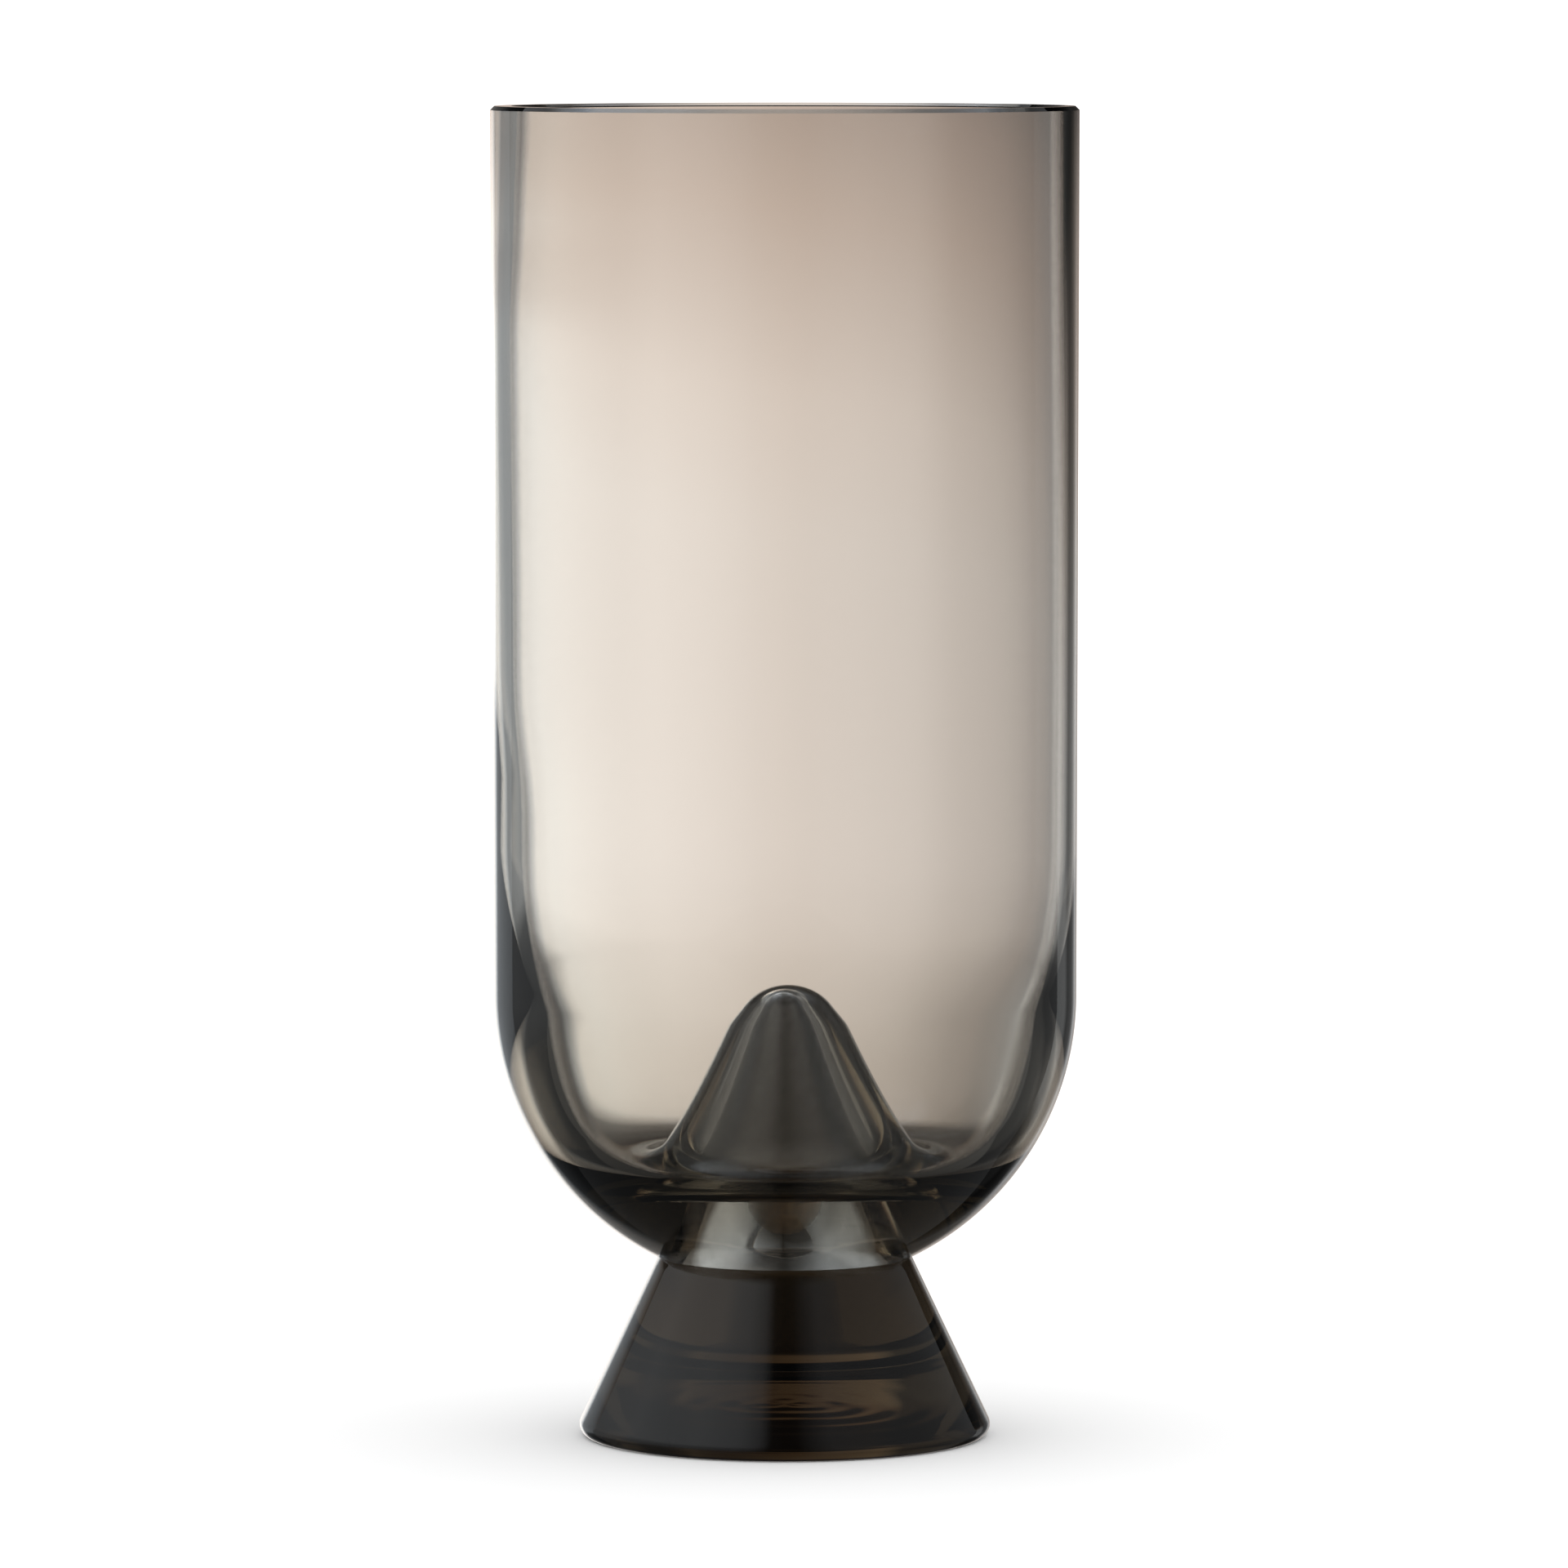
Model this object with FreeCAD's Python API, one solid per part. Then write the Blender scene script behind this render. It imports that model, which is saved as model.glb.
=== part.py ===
"""Footed glass cylinder vase: a blown bowl, a conical foot whose core rises through its floor, and a peak.

Millimetres, +Z up. The origin is the centre of the circle that the vase stands on, and Z is the axis
that every piece is turned about. Each piece is one closed solid, written to parts/NODE.step.
"""

import FreeCAD, Part

import math
import os

# Overall
HEIGHT = 300.0  # standing plane to rim

# Bowl: nearly straight wall on a round bottom
RIM_RADIUS = 66.1  # outside, at the rim
BOTTOM_RADIUS = 65.8  # outside, of the round bottom
BOTTOM_CENTRE_Z = 100.0
RIM_WALL = 4.4  # glass thickness at the rim
LOW_WALL = 4.3  # glass thickness where the inside starts to close in
RIM_BEVEL_OUT = 0.9
RIM_BEVEL_IN = 0.6
INSIDE_CURVE_Z = 134.0  # height at which the inside starts to close in
TROUGH_Z = 62.0  # lowest level of the inside, which runs round the peak

# Peak: round-tipped cone with a hollow-curved toe, standing on the bowl's floor over the foot's core
PEAK_TOP_Z = 97.8
PEAK_TIP_RADIUS = 11.6
PEAK_HALF_ANGLE = math.radians(34.5)  # flank from the vertical
PEAK_TOE_RADIUS = 9.5  # of the hollow curve from the flank out to the trough

# Foot: solid cone that narrows all the way up into the peak, ground hollow underneath to stand on a ring
NECK_RADIUS = 28.6  # where the foot comes out of the bowl
FOOT_HALF_ANGLE = math.radians(25.4)
CORE_TOP_Z = 94.5  # round top of the foot's core, inside the peak
FOOT_EDGE_FILLET = 2.6
RECESS_RADIUS = 35.0
RECESS_DEPTH = 2.2


def point(radius, height):
    """A point of a profile, which lies in the XZ plane."""
    return FreeCAD.Vector(radius, 0, height)


def direction(angle):
    """Unit vector in the profile's plane, at an angle above the horizontal."""
    return point(math.cos(angle), math.sin(angle))


def line(start, end):
    return Part.LineSegment(start, end).toShape()


def arc(centre, radius, start_angle, end_angle):
    """Part of a circle, between two angles above the horizontal, by way of the angle halfway."""
    angles = (start_angle, (start_angle + end_angle) / 2, end_angle)
    return Part.Arc(*[centre + direction(angle) * radius for angle in angles]).toShape()


def turned(edges):
    """The solid that a closed profile makes when it is turned about the Z axis."""
    face = Part.Face(Part.Wire(Part.__sortEdges__(edges)))
    return face.revolve(FreeCAD.Vector(0, 0, 0), FreeCAD.Vector(0, 0, 1), 360)


def neck():
    """The circle where the foot's flank meets the outside of the bowl's bottom."""
    return point(NECK_RADIUS, BOTTOM_CENTRE_Z - math.sqrt(BOTTOM_RADIUS**2 - NECK_RADIUS**2))


def foot_flank(height):
    """A point of the foot's flank, which runs straight on through the bowl's floor into the peak."""
    return point(neck().x + (neck().z - height) * math.tan(FOOT_HALF_ANGLE), height)


def core_tip():
    """The round top of the foot's core, which the flank touches: its arc, and where the flank starts."""
    reach = foot_flank(CORE_TOP_Z).x * math.cos(FOOT_HALF_ANGLE)
    radius = reach / (1 - math.sin(FOOT_HALF_ANGLE))
    centre = point(0, CORE_TOP_Z - radius)
    return arc(centre, radius, math.pi / 2, FOOT_HALF_ANGLE), centre + direction(FOOT_HALF_ANGLE) * radius


def peak_toe():
    """Centre of the toe's hollow curve: it touches the flank, and reaches the trough's level below."""
    tip_centre = point(0, PEAK_TOP_Z - PEAK_TIP_RADIUS)
    flank_top = tip_centre + direction(PEAK_HALF_ANGLE) * PEAK_TIP_RADIUS
    toe_centre_z = TROUGH_Z + PEAK_TOE_RADIUS
    flank_low_z = toe_centre_z - PEAK_TOE_RADIUS * math.sin(PEAK_HALF_ANGLE)
    flank_low = flank_top + point(math.tan(PEAK_HALF_ANGLE), -1) * (flank_top.z - flank_low_z)
    return flank_top, flank_low, flank_low + direction(PEAK_HALF_ANGLE) * PEAK_TOE_RADIUS


def make_bowl():
    _, _, toe_centre = peak_toe()
    trough = point(toe_centre.x, TROUGH_Z)
    inside_low = point(BOTTOM_RADIUS - LOW_WALL, INSIDE_CURVE_Z)
    ellipse_centre = point(trough.x, INSIDE_CURVE_Z)
    # The inside turns in from the wall to the trough along a quarter of an upright ellipse.
    inside_curve = Part.ArcOfEllipse(Part.Ellipse(trough, inside_low, ellipse_centre), 0, math.pi / 2)
    inner_rim = RIM_RADIUS - RIM_WALL
    outside_top = point(RIM_RADIUS, HEIGHT - RIM_BEVEL_OUT)
    rim_outer = point(RIM_RADIUS - RIM_BEVEL_OUT, HEIGHT)
    rim_inner = point(inner_rim + RIM_BEVEL_IN, HEIGHT)
    inside_top = point(inner_rim, HEIGHT - RIM_BEVEL_IN)
    neck_angle = -math.acos(NECK_RADIUS / BOTTOM_RADIUS)
    return turned(
        [
            arc(point(0, BOTTOM_CENTRE_Z), BOTTOM_RADIUS, neck_angle, 0),
            line(point(BOTTOM_RADIUS, BOTTOM_CENTRE_Z), outside_top),
            line(outside_top, rim_outer),
            line(rim_outer, rim_inner),
            line(rim_inner, inside_top),
            line(inside_top, inside_low),
            inside_curve.toShape(),
            line(trough, foot_flank(TROUGH_Z)),
            line(foot_flank(TROUGH_Z), neck()),
        ]
    )


def make_peak():
    flank_top, flank_low, toe_centre = peak_toe()
    tip_centre = point(0, PEAK_TOP_Z - PEAK_TIP_RADIUS)
    # The toe stops just above the trough, where it would otherwise thin out to nothing.
    toe_end = math.radians(80)
    toe_low = toe_centre - direction(toe_end) * PEAK_TOE_RADIUS
    tip_arc, tip_low = core_tip()
    return turned(
        [
            arc(tip_centre, PEAK_TIP_RADIUS, math.pi / 2, PEAK_HALF_ANGLE),
            line(flank_top, flank_low),
            arc(toe_centre, PEAK_TOE_RADIUS, math.pi + PEAK_HALF_ANGLE, math.pi + toe_end),
            line(toe_low, point(toe_low.x, TROUGH_Z)),
            line(point(toe_low.x, TROUGH_Z), foot_flank(TROUGH_Z)),
            line(foot_flank(TROUGH_Z), tip_low),
            tip_arc,
            line(point(0, CORE_TOP_Z), point(0, PEAK_TOP_Z)),
        ]
    )


def make_foot():
    # The edge fillet touches the flank and the standing plane.
    fillet_reach = FOOT_EDGE_FILLET * (1 / math.cos(FOOT_HALF_ANGLE) + math.tan(FOOT_HALF_ANGLE))
    edge_centre = foot_flank(0) + point(-fillet_reach, FOOT_EDGE_FILLET)
    flank_low = edge_centre + direction(FOOT_HALF_ANGLE) * FOOT_EDGE_FILLET
    recess_radius = (RECESS_RADIUS**2 + RECESS_DEPTH**2) / (2 * RECESS_DEPTH)
    recess_edge_angle = math.acos(RECESS_RADIUS / recess_radius)
    tip_arc, tip_low = core_tip()
    return turned(
        [
            tip_arc,
            line(tip_low, flank_low),
            arc(edge_centre, FOOT_EDGE_FILLET, FOOT_HALF_ANGLE, -math.pi / 2),
            line(point(edge_centre.x, 0), point(RECESS_RADIUS, 0)),
            arc(point(0, RECESS_DEPTH - recess_radius), recess_radius, recess_edge_angle, math.pi / 2),
            line(point(0, RECESS_DEPTH), point(0, CORE_TOP_Z)),
        ]
    )


def main():
    os.makedirs("parts", exist_ok=True)
    pieces = {"bowl": make_bowl(), "peak": make_peak(), "foot": make_foot()}
    for name, shape in pieces.items():
        if shape.ShapeType != "Solid" or not shape.isValid():
            raise ValueError(f"{name} is not one valid solid")
        shape.exportStep(f"parts/{name}.step")
        print(name, round(shape.Volume), "mm3")


main()
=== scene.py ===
import math

import bmesh
import bpy
from mathutils import Matrix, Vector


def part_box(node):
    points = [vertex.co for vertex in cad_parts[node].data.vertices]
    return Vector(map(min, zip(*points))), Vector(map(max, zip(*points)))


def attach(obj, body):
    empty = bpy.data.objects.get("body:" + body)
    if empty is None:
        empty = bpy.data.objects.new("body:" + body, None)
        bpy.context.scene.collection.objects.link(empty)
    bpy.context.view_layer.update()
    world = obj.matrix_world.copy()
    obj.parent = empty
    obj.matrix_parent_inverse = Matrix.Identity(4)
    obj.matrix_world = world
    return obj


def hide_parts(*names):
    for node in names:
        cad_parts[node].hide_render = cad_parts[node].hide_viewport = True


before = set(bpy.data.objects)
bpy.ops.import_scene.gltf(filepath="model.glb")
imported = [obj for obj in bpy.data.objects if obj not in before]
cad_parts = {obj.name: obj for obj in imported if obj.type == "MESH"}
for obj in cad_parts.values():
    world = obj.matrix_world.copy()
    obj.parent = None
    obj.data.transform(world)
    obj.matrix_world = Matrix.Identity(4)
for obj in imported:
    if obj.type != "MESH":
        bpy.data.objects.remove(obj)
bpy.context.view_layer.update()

MM = 0.001

# Sizes of the vase, in metres, as the CAD has them
BOWL_LOW, BOWL_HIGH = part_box("bowl")
PEAK_LOW, PEAK_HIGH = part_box("peak")
FOOT_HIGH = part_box("foot")[1]
HEIGHT = BOWL_HIGH.z
RIM_RADIUS = BOWL_HIGH.x
NECK_Z = BOWL_LOW.z
NECK_RADIUS = 28.6 * MM
CORE_TOP_Z = FOOT_HIGH.z
PEAK_TOP_Z = PEAK_HIGH.z
TROUGH_Z = PEAK_LOW.z
WALL_TAPER = 0.3 * MM  # how much smaller the outer radius is low down than at the rim
BOTTOM_RADIUS = RIM_RADIUS - WALL_TAPER
BOTTOM_CENTRE_Z = NECK_Z + math.sqrt(BOTTOM_RADIUS**2 - NECK_RADIUS**2)
INNER_RADIUS = 61.6 * MM
INSIDE_FLARE = 0.1 * MM  # how much larger the inner radius is at the rim
INSIDE_CURVE_Z = 134.0 * MM
RIM_BEVEL_OUT = 0.9 * MM
RIM_BEVEL_IN = 0.6 * MM
PEAK_TIP_RADIUS = 11.6 * MM
PEAK_HALF_ANGLE = math.radians(34.5)
PEAK_TOE_RADIUS = 9.5 * MM
FOOT_HALF_ANGLE = math.radians(25.4)
FOOT_EDGE_FILLET = 2.6 * MM
RECESS_RADIUS = 35.0 * MM
RECESS_DEPTH = 2.2 * MM

# What the looks add to the CAD's sizes
SEAT_GAP = 0.12 * MM  # air film between the foot's core and its socket
NECK_STEP = 0.3 * MM  # the foot's own flank starts this far below the neck
SKIN_INSET = 0.03 * MM  # keeps the looks inside the CAD's box
PEAK_LEAN = 0.7 * MM  # the peak stands this far to the right

# How far the inside is shifted to the right, on its left and on its right: blown glass is never even.
# Each pair is a height and a shift, both in millimetres
LEAN_LEFT = [
    (62.0, 0.7), (115.0, 1.2), (140.0, 1.2), (170.0, 0.2), (250.0, 0.1), (275.0, 0.6), (300.0, 1.0),
]
LEAN_RIGHT = [(62.0, 0.7), (300.0, 0.6)]

# The faint waves in the hollow under the foot
WAVE_HEIGHT = 0.05 * MM
WAVE_CALM_RADIUS = 6 * MM  # the waves fade out inside this radius
WAVE_CALM_EDGE = 0.3  # and over this share of the hollow's radius at its edge

# Glass. Absorption is per metre for red, green and blue
GLASS_IOR = 1.52
SMOKE_ABSORPTION = (35.0, 38.0, 44.0)
# The foot and its core under the peak: the same smoke glass, made to absorb more so that they come out
# darker; this is painted shade on top of the glass's own smoke tint
SMOKE_AND_PAINTED_SHADE_ABSORPTION = (42.0, 47.0, 55.0)
STRONGEST_SHARE = 0.9  # the share of the volume's density that the strongest colour absorbs

SEGMENTS = 288
CURVE_STEPS = 48
SAME_POINT = 1e-7
SHARP_ANGLE = math.radians(18)


def arc_points(centre, radius, start, end, steps):
    return [
        (
            centre[0] + radius * math.cos(start + (end - start) * i / steps),
            centre[1] + radius * math.sin(start + (end - start) * i / steps),
        )
        for i in range(steps + 1)
    ]


def straight(start, end, steps):
    return [
        (start[0] + (end[0] - start[0]) * i / steps, start[1] + (end[1] - start[1]) * i / steps)
        for i in range(steps + 1)
    ]


def joined(*runs):
    """One outline out of several runs of points, without the points that two runs share."""
    outline = []
    for run in runs:
        for p in run:
            if not outline or math.dist(p, outline[-1]) > SAME_POINT:
                outline.append(p)
    return outline


def foot_flank(z):
    return (NECK_RADIUS + (NECK_Z - z) * math.tan(FOOT_HALF_ANGLE), z)


def peak_outline():
    """The peak from its top down to the trough."""
    tip = (0.0, PEAK_TOP_Z - PEAK_TIP_RADIUS)
    cap = arc_points(tip, PEAK_TIP_RADIUS, math.pi / 2, PEAK_HALF_ANGLE, steps=26)
    toe_z = TROUGH_Z + PEAK_TOE_RADIUS
    low_z = toe_z - PEAK_TOE_RADIUS * math.sin(PEAK_HALF_ANGLE)
    top = cap[-1]
    low = (top[0] + (top[1] - low_z) * math.tan(PEAK_HALF_ANGLE), low_z)
    centre = (low[0] + PEAK_TOE_RADIUS * math.cos(PEAK_HALF_ANGLE), toe_z)
    toe = arc_points(centre, PEAK_TOE_RADIUS, math.pi + PEAK_HALF_ANGLE, 1.5 * math.pi, steps=14)
    return joined(cap, straight(top, low, steps=16), toe)


def inside_outline():
    """The inside of the bowl from the trough up to the rim."""
    trough = peak_outline()[-1]
    across, up = INNER_RADIUS - trough[0], INSIDE_CURVE_Z - TROUGH_Z
    curve = [
        (trough[0] + across * math.sin(a), INSIDE_CURVE_Z - up * math.cos(a))
        for a in [math.pi / 2 * i / CURVE_STEPS for i in range(CURVE_STEPS + 1)]
    ]
    top = (INNER_RADIUS + INSIDE_FLARE, HEIGHT - RIM_BEVEL_IN)
    return joined(curve, straight(curve[-1], top, steps=20))


def outside_outline():
    """The outside of the bowl from the rim down to the neck."""
    rim = (RIM_RADIUS, HEIGHT - RIM_BEVEL_OUT)
    wall_low = (BOTTOM_RADIUS, BOTTOM_CENTRE_Z)
    neck_angle = -math.acos(NECK_RADIUS / BOTTOM_RADIUS)
    bottom = arc_points((0.0, BOTTOM_CENTRE_Z), BOTTOM_RADIUS, 0.0, neck_angle, steps=64)
    return joined(straight(rim, wall_low, steps=20), bottom)


def core_outline(gap):
    """The foot's core from the middle of its round top down to the neck, this far inside its socket."""
    slope = math.sin(FOOT_HALF_ANGLE)
    tip_radius = foot_flank(CORE_TOP_Z)[0] * math.cos(FOOT_HALF_ANGLE) / (1 - slope)
    tip = (0.0, CORE_TOP_Z - tip_radius)
    cap = arc_points(tip, tip_radius - gap, math.pi / 2, FOOT_HALF_ANGLE, steps=20)
    low = (NECK_RADIUS - gap / math.cos(FOOT_HALF_ANGLE), NECK_Z)
    return joined(cap, straight(cap[-1], low, steps=16))


def foot_outline():
    """The foot from the middle of its top, down its flank and in to the middle of its underside."""
    reach = FOOT_EDGE_FILLET * (1 / math.cos(FOOT_HALF_ANGLE) + math.tan(FOOT_HALF_ANGLE))
    corner = foot_flank(0.0)
    edge = (corner[0] - reach, FOOT_EDGE_FILLET)
    fillet = arc_points(edge, FOOT_EDGE_FILLET, FOOT_HALF_ANGLE, -math.pi / 2, steps=16)
    neck = foot_flank(NECK_Z - NECK_STEP)
    dish_radius = (RECESS_RADIUS**2 + RECESS_DEPTH**2) / (2 * RECESS_DEPTH)
    dish_edge = math.acos(RECESS_RADIUS / dish_radius)
    dish_centre = (0.0, RECESS_DEPTH - dish_radius)
    dish = arc_points(dish_centre, dish_radius, dish_edge, math.pi / 2, steps=CURVE_STEPS)
    return joined(
        core_outline(SEAT_GAP),
        straight(neck, fillet[0], steps=20),
        fillet,
        straight(fillet[-1], (RECESS_RADIUS, 0.0), steps=4),
        dish,
    )


def lathe(name, outline, place):
    """A closed mesh: the outline turned about Z, with every point put where place(radius, z, angle) says."""
    mesh = bmesh.new()
    rings = []
    for radius, z in outline:
        if radius < SAME_POINT:
            rings.append([mesh.verts.new(place(0.0, z, 0.0))])
        else:
            rings.append(
                [mesh.verts.new(place(radius, z, 2 * math.pi * i / SEGMENTS)) for i in range(SEGMENTS)]
            )
    for upper, lower in zip(rings, rings[1:]):
        for i in range(SEGMENTS):
            j = (i + 1) % SEGMENTS
            if len(upper) == 1:
                mesh.faces.new((upper[0], lower[i], lower[j]))
            elif len(lower) == 1:
                mesh.faces.new((upper[i], lower[0], upper[j]))
            else:
                mesh.faces.new((upper[i], lower[i], lower[j], upper[j]))
    bmesh.ops.recalc_face_normals(mesh, faces=mesh.faces)
    data = bpy.data.meshes.new(name)
    mesh.to_mesh(data)
    mesh.free()
    data.shade_smooth()
    data.set_sharp_from_angle(angle=SHARP_ANGLE)
    piece = bpy.data.objects.new(name, data)
    bpy.context.collection.objects.link(piece)
    return piece


def smoothstep(low, high, x):
    t = min(1.0, max(0.0, (x - low) / (high - low)))
    return t * t * (3 - 2 * t)


def along(table, x):
    """The value at x, eased from each (x, value) pair of the table to the next."""
    for (x0, v0), (x1, v1) in zip(table, table[1:]):
        if x <= x1:
            return v0 + (v1 - v0) * smoothstep(x0, x1, x)
    return table[-1][1]


def bore_swell(angle, z):
    """How much the bore swells, in millimetres: two slow waves round it and up it."""
    return 0.10 * math.sin(2 * angle + 9 * z) + 0.06 * math.sin(3 * angle - 31 * z + 1.0)


def vase_shape():
    """The bowl and its peak as one piece of glass."""
    peak, inside = peak_outline(), inside_outline()
    rim = [
        (INNER_RADIUS + INSIDE_FLARE + RIM_BEVEL_IN, HEIGHT),
        (RIM_RADIUS - RIM_BEVEL_OUT, HEIGHT),
    ]
    outline = joined(peak, inside, rim, outside_outline(), core_outline(0.0)[::-1])
    hollow = set(peak + inside + rim[:1])
    peak_points = set(peak)

    def place(radius, z, angle):
        x, y = radius * math.cos(angle), radius * math.sin(angle)
        if (radius, z) in peak_points:
            x += PEAK_LEAN
        elif (radius, z) in hollow:
            table = LEAN_RIGHT if math.cos(angle) > 0 else LEAN_LEFT
            lean = along(table, z / MM) * math.cos(angle) ** 3
            grow = 1 + (lean + bore_swell(angle, z)) * MM / radius
            x, y = x * grow, y * grow
        return (x, y, z)

    return lathe("vase_bowl", outline, place)


def polish_wave(radius, angle):
    """The waves in the hollow, about -1.6 to 1.6: rings that wander, and five slanted lobes."""
    rings = math.sin(1100 * radius + 1.4 * math.sin(3 * angle))
    return rings + 0.6 * math.sin(5 * angle + 400 * radius)


def foot_shape():
    """The foot and its core, with faint waves, as from polishing by hand, in the hollow underneath."""

    def place(radius, z, angle):
        if 0.0 < z <= RECESS_DEPTH and radius < RECESS_RADIUS:
            ease = smoothstep(0.0, WAVE_CALM_EDGE, 1 - radius / RECESS_RADIUS)
            calm = min(1.0, radius / WAVE_CALM_RADIUS)
            z -= WAVE_HEIGHT * ease * polish_wave(radius, angle) * calm
        return (radius * math.cos(angle), radius * math.sin(angle), z)

    return lathe("vase_foot", foot_outline(), place)


def glass(name, absorption):
    """Clear smooth glass that absorbs this much per metre of red, green and blue."""
    material = bpy.data.materials.new(name)
    material.use_nodes = True
    tree = material.node_tree
    tree.nodes.clear()
    out = tree.nodes.new("ShaderNodeOutputMaterial")
    surface = tree.nodes.new("ShaderNodeBsdfPrincipled")
    surface.inputs["Base Color"].default_value = (1, 1, 1, 1)
    surface.inputs["Roughness"].default_value = 0.0
    surface.inputs["IOR"].default_value = GLASS_IOR
    surface.inputs["Transmission Weight"].default_value = 1.0
    volume = tree.nodes.new("ShaderNodeVolumeAbsorption")
    density = max(absorption) / STRONGEST_SHARE
    volume.inputs["Density"].default_value = density
    volume.inputs["Color"].default_value = tuple(1 - a / density for a in absorption) + (1,)
    tree.links.new(surface.outputs[0], out.inputs["Surface"])
    tree.links.new(volume.outputs[0], out.inputs["Volume"])
    return material


vase = vase_shape()
foot = foot_shape()
vase.data.materials.append(glass("smoke_glass", SMOKE_ABSORPTION))
# The foot and its core take the more strongly absorbing copy of the glass, which is painted shade
foot.data.materials.append(glass("smoke_glass_with_painted_shade", SMOKE_AND_PAINTED_SHADE_ABSORPTION))
for piece in (vase, foot):
    piece.scale = (1 - SKIN_INSET / RIM_RADIUS,) * 2 + (1,)
    bpy.context.view_layer.update()
    piece.data.transform(piece.matrix_world)
    piece.matrix_world = Matrix.Identity(4)
    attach(piece, "root")
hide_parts("bowl", "peak")
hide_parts("foot")


# Stage
def plane(name, size_x, size_y, material):
    data = bpy.data.meshes.new(name)
    x, y = size_x / 2, size_y / 2
    data.from_pydata([(-x, -y, 0), (x, -y, 0), (x, y, 0), (-x, y, 0)], [], [(0, 1, 2, 3)])
    data.materials.append(material)
    card = bpy.data.objects.new(name, data)
    bpy.context.collection.objects.link(card)
    return card


def math_node(tree, operation, *values):
    node = tree.nodes.new("ShaderNodeMath")
    node.operation = operation
    for socket, value in zip(node.inputs, values):
        if isinstance(value, (int, float)):
            socket.default_value = value
        else:
            tree.links.new(value, socket)
    return node.outputs[0]


def colour_node(tree, operation, first, second):
    """The operation on two colours, channel by channel; the second may be a number, a colour or a socket."""
    node = tree.nodes.new("ShaderNodeVectorMath")
    node.operation = operation
    tree.links.new(first, node.inputs[0])
    if isinstance(second, (int, float)):
        node.inputs[1].default_value = (second,) * 3
    elif isinstance(second, tuple):
        node.inputs[1].default_value = second
    else:
        tree.links.new(second, node.inputs[1])
    return node.outputs[0]


RAMP_TOP = 4.0  # the brightest level that a ramp may hold


def ramp(tree, value, stops):
    """Straight lines through (value, level) stops, where a level is one number or a colour."""
    low, high = stops[0][0], stops[-1][0]
    place = tree.nodes.new("ShaderNodeMapRange")
    tree.links.new(value, place.inputs["Value"])
    place.inputs["From Min"].default_value = low
    place.inputs["From Max"].default_value = high
    node = tree.nodes.new("ShaderNodeValToRGB")
    elements = node.color_ramp.elements
    for at, level in stops:
        if at in (low, high):
            element = elements[0] if at == low else elements[-1]
        else:
            element = elements.new((at - low) / (high - low))
        colour = (level,) * 3 if isinstance(level, (int, float)) else level
        element.color = tuple(channel / RAMP_TOP for channel in colour) + (1,)
    tree.links.new(place.outputs[0], node.inputs[0])
    return colour_node(tree, "MULTIPLY", node.outputs[0], RAMP_TOP)


FLOOR_SIZE = 8.0


def floor_paper():
    material = bpy.data.materials.new("floor_paper")
    material.use_nodes = True
    paper = material.node_tree.nodes["Principled BSDF"]
    paper.inputs["Base Color"].default_value = (0.9, 0.9, 0.9, 1)
    paper.inputs["Roughness"].default_value = 1.0
    paper.inputs["Specular IOR Level"].default_value = 0.0
    return material


# The glass sees the room below it in place of the floor
floor = plane("floor", FLOOR_SIZE, FLOOR_SIZE, floor_paper())
floor.visible_transmission = False
floor.visible_glossy = False

# The room. Azimuth 0 is behind the vase, -90 to its left, 180 behind the camera
# A wide soft light on the left and a weaker one on the right
LEFT_BY_AZIMUTH = [
    (-180, 0.0), (-171, 0.02), (-163, 0.35), (-150, 0.6), (-124, 0.75), (-79, 0.7), (-60, 0.55),
    (-45, 0.4), (-25, 0.35), (0, 0.3), (38, 0.0), (180, 0.0),
]
LEFT_BY_HEIGHT = [
    (-90, 0.04), (-45, 0.08), (-15, 0.2), (-6, 0.5), (8, 0.6), (25, 1.0), (45, 1.0), (60, 0.7),
    (75, 0.15), (90, 0.05),
]
RIGHT_BY_AZIMUTH = [
    (-180, 0.0), (0, 0.0), (38, 0.2), (60, 0.25), (105, 0.3), (150, 0.3), (165, 0.1), (172, 0.0), (180, 0.0),
]
RIGHT_BY_HEIGHT = [
    (-90, 0.1), (-45, 0.3), (-20, 0.5), (-5, 0.6), (10, 0.8), (33, 0.8), (60, 0.5), (75, 0.1), (90, 0.05),
]
SIDES_TINT = (0.97, 1.0, 1.03)
# Two soft lights high behind the vase
HIGH_BY_AZIMUTH = [
    (-180, 0.0), (-110, 0.0), (-80, 0.7), (-60, 1.3), (-30, 1.2), (-12, 0.6), (0, 0.1), (16, 0.3), (32, 0.75),
    (52, 0.7), (70, 0.2), (180, 0.0),
]
HIGH_BY_HEIGHT = [(-90, 0.0), (38, 0.0), (47, 1.0), (70, 1.0), (78, 0.3), (90, 0.0)]
HIGH_TINT = (0.9, 1.05, 1.25)
# Pale walls behind the camera and a pale patch straight below, which show only through glass
FRONT_BY_AZIMUTH = [(-180, 0.6), (-125, 0.6), (-105, 0.0), (105, 0.0), (125, 0.6), (180, 0.6)]
FRONT_BY_HEIGHT = [(-90, 1.0), (30, 1.0), (45, 0.0), (90, 0.0)]
BELOW_BY_HEIGHT = [(-90, 0.6), (-72, 0.6), (-62, 0.0), (90, 0.0)]
ROOM_DIM = (0.03, 0.03, 0.03)  # the light that comes from everywhere
SURROUND_STRENGTH = 1.35  # the white that the camera sees and that lights the floor


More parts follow.
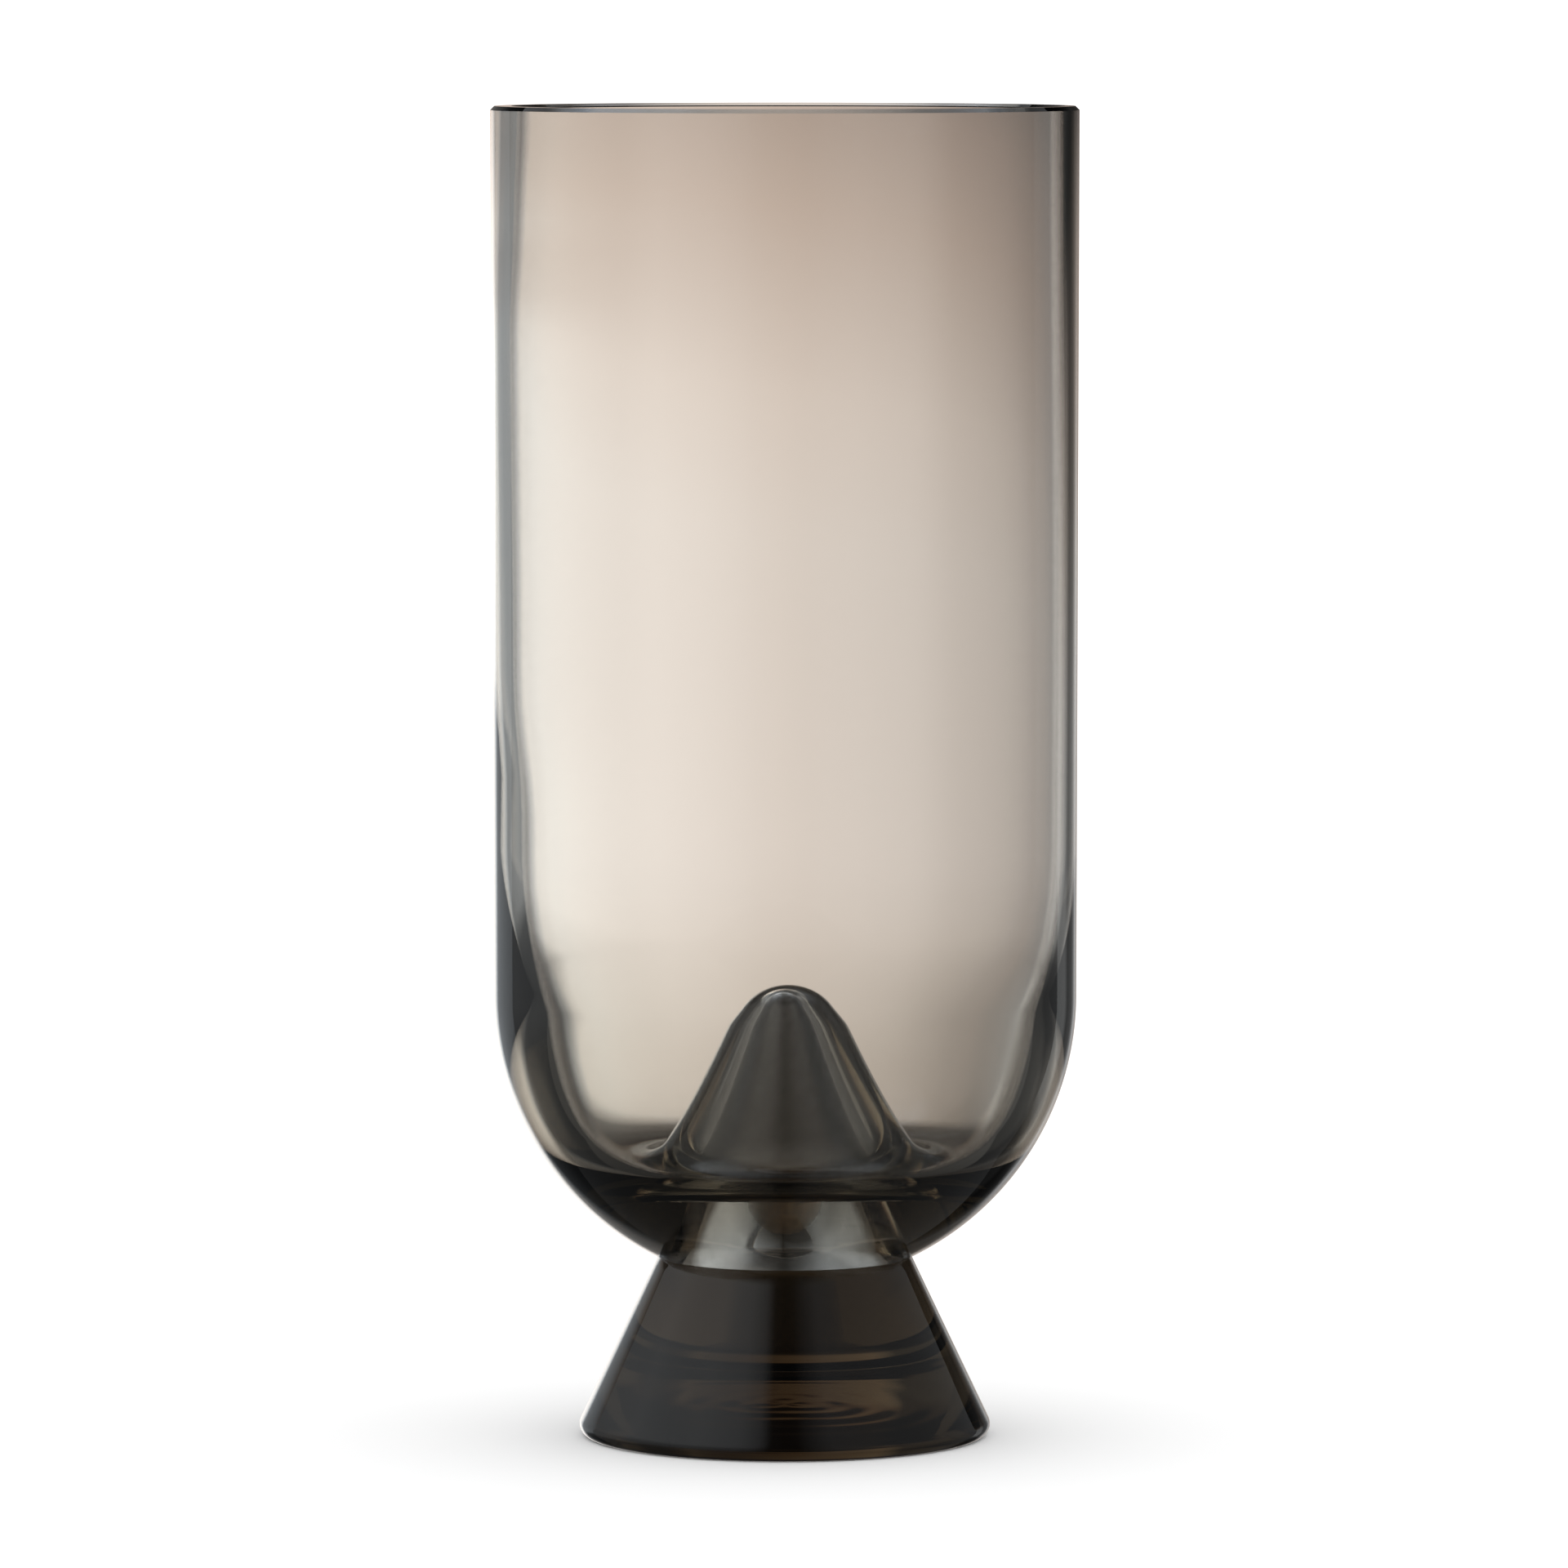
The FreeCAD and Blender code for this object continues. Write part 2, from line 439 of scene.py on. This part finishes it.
def room_colour(tree, path):
    """The colour of the room in each direction."""
    direction = tree.nodes.new("ShaderNodeSeparateXYZ")
    tree.links.new(tree.nodes.new("ShaderNodeTexCoord").outputs["Generated"], direction.inputs[0])
    around = math_node(tree, "ARCTAN2", direction.outputs["X"], direction.outputs["Y"])
    azimuth = math_node(tree, "MULTIPLY", around, 180 / math.pi)
    above = math_node(tree, "ARCSINE", direction.outputs["Z"])
    elevation = math_node(tree, "MULTIPLY", above, 180 / math.pi)

    def glow_at(azimuth_stops, height_stops):
        by_azimuth = ramp(tree, azimuth, azimuth_stops)
        return colour_node(tree, "MULTIPLY", by_azimuth, ramp(tree, elevation, height_stops))

    left = glow_at(LEFT_BY_AZIMUTH, LEFT_BY_HEIGHT)
    right = glow_at(RIGHT_BY_AZIMUTH, RIGHT_BY_HEIGHT)
    sides = colour_node(tree, "MULTIPLY", colour_node(tree, "ADD", left, right), SIDES_TINT)
    high = colour_node(tree, "MULTIPLY", glow_at(HIGH_BY_AZIMUTH, HIGH_BY_HEIGHT), HIGH_TINT)
    lights = colour_node(tree, "ADD", sides, high)
    front = glow_at(FRONT_BY_AZIMUTH, FRONT_BY_HEIGHT)
    fill = colour_node(tree, "ADD", front, ramp(tree, elevation, BELOW_BY_HEIGHT))
    seen_fill = colour_node(tree, "MULTIPLY", fill, path.outputs["Is Transmission Ray"])
    return colour_node(tree, "ADD", colour_node(tree, "ADD", lights, seen_fill), ROOM_DIM)


def studio():
    """A white surround for the camera and the floor, and a separate room for the glass."""
    world = bpy.data.worlds.new("studio")
    world.use_nodes = True
    world.cycles.sampling_method = "NONE"
    tree = world.node_tree
    tree.nodes.clear()
    out = tree.nodes.new("ShaderNodeOutputWorld")
    path = tree.nodes.new("ShaderNodeLightPath")
    room = tree.nodes.new("ShaderNodeBackground")
    tree.links.new(room_colour(tree, path), room.inputs["Color"])
    surround = tree.nodes.new("ShaderNodeBackground")
    surround.inputs["Color"].default_value = (1, 1, 1, 1)
    surround.inputs["Strength"].default_value = SURROUND_STRENGTH
    either = math_node(tree, "MAXIMUM", path.outputs["Is Camera Ray"], path.outputs["Is Diffuse Ray"])
    pick = tree.nodes.new("ShaderNodeMixShader")
    tree.links.new(either, pick.inputs[0])
    tree.links.new(room.outputs[0], pick.inputs[1])
    tree.links.new(surround.outputs[0], pick.inputs[2])
    tree.links.new(pick.outputs[0], out.inputs["Surface"])
    return world


bpy.context.scene.world = studio()

# The backdrop, which only the glass sees: brightest left of its middle, warmest just right of it,
# and dark at the top and the bottom. Places on it are in metres from its middle, which is at floor level
BACKDROP_Y = 1.5
BACKDROP_WIDTH = 3.0
BACKDROP_HEIGHT = 2.4
BACKDROP_SLANT = 0.12  # how much the bands rise from right to left for each metre across
BACKDROP_BY_SIDE = [
    (-1.5, 0.4), (-0.9, 0.42), (-0.7, 0.45), (-0.6, 1.2), (-0.5, 1.8), (-0.3, 1.52), (-0.1, 1.15), (0, 1.0),
    (0.1, 0.78), (0.2, 0.58), (0.3, 0.5), (0.42, 0.55), (0.5, 0.7), (0.58, 0.35), (0.7, 0.15), (0.95, 0.12),
    (1.1, 0.35), (1.5, 0.45),
]
BACKDROP_TINT = [
    (-1.5, (0.94, 1.0, 1.05)), (-0.65, (0.94, 1.0, 1.05)),
    (-0.5, (1.0, 0.98, 0.95)), (-0.35, (1.0, 0.98, 0.95)),
    (0, (1.0, 0.9, 0.83)), (0.25, (1.0, 0.9, 0.83)),
    (0.5, (0.97, 0.97, 0.97)), (1.5, (0.97, 1.0, 1.0)),
]
BACKDROP_BY_HEIGHT = [
    (-1.2, 0.08), (-0.7, 0.15), (-0.55, 0.25), (-0.48, 0.6), (-0.41, 1.0), (-0.25, 1.1), (-0.1, 1.05),
    (0.125, 1.05), (0.175, (1.0, 0.97, 0.95)), (0.245, (0.75, 0.67, 0.62)), (0.29, (0.57, 0.5, 0.46)),
    (0.36, 0.12), (0.6, 0.06), (1.2, 0.05),
]


def backdrop_glow():
    material = bpy.data.materials.new("backdrop")
    material.use_nodes = True
    tree = material.node_tree
    tree.nodes.clear()
    out = tree.nodes.new("ShaderNodeOutputMaterial")
    place = tree.nodes.new("ShaderNodeSeparateXYZ")
    tree.links.new(tree.nodes.new("ShaderNodeTexCoord").outputs["Object"], place.inputs[0])
    side = place.outputs["X"]
    height = math_node(tree, "MULTIPLY_ADD", side, BACKDROP_SLANT, place.outputs["Y"])
    by_side = colour_node(
        tree, "MULTIPLY", ramp(tree, side, BACKDROP_BY_SIDE), ramp(tree, side, BACKDROP_TINT)
    )
    colour = colour_node(tree, "MULTIPLY", by_side, ramp(tree, height, BACKDROP_BY_HEIGHT))
    glow = tree.nodes.new("ShaderNodeEmission")
    tree.links.new(colour, glow.inputs["Color"])
    tree.links.new(glow.outputs[0], out.inputs["Surface"])
    material.cycles.emission_sampling = "NONE"
    return material


backdrop = plane("backdrop", BACKDROP_WIDTH, BACKDROP_HEIGHT, backdrop_glow())
backdrop.location = (0, BACKDROP_Y, 0)
backdrop.rotation_euler = (math.pi / 2, 0, 0)
backdrop.visible_camera = False
backdrop.visible_diffuse = False
backdrop.visible_shadow = False

# Thick glass inside glass takes many bounces
GLASS_BOUNCES = 24
bpy.context.scene.cycles.max_bounces = GLASS_BOUNCES
bpy.context.scene.cycles.transmission_bounces = GLASS_BOUNCES

# Camera: at the photograph's viewing angle, just above the rim and far away, aimed a little down
CAMERA_PLACE = (0.0, -2.3098, 0.32707)
CAMERA_DOWN = 0.077569
SENSOR_WIDTH_MM = 36.0
LENS_MM = 236.1375
FRAME_WIDTH = 1920.0
camera_data = bpy.data.cameras.new("camera")
camera = bpy.data.objects.new("camera", camera_data)
bpy.context.collection.objects.link(camera)
bpy.context.scene.camera = camera
camera.location = CAMERA_PLACE
camera.rotation_euler = (math.pi / 2 - CAMERA_DOWN, 0, 0)
camera_data.sensor_width = SENSOR_WIDTH_MM
camera_data.lens = LENS_MM
camera_data.shift_x = -1.0 / FRAME_WIDTH
camera_data.clip_end = 50.0
bpy.context.scene.view_settings.view_transform = "Standard"

bpy.context.view_layer.update()
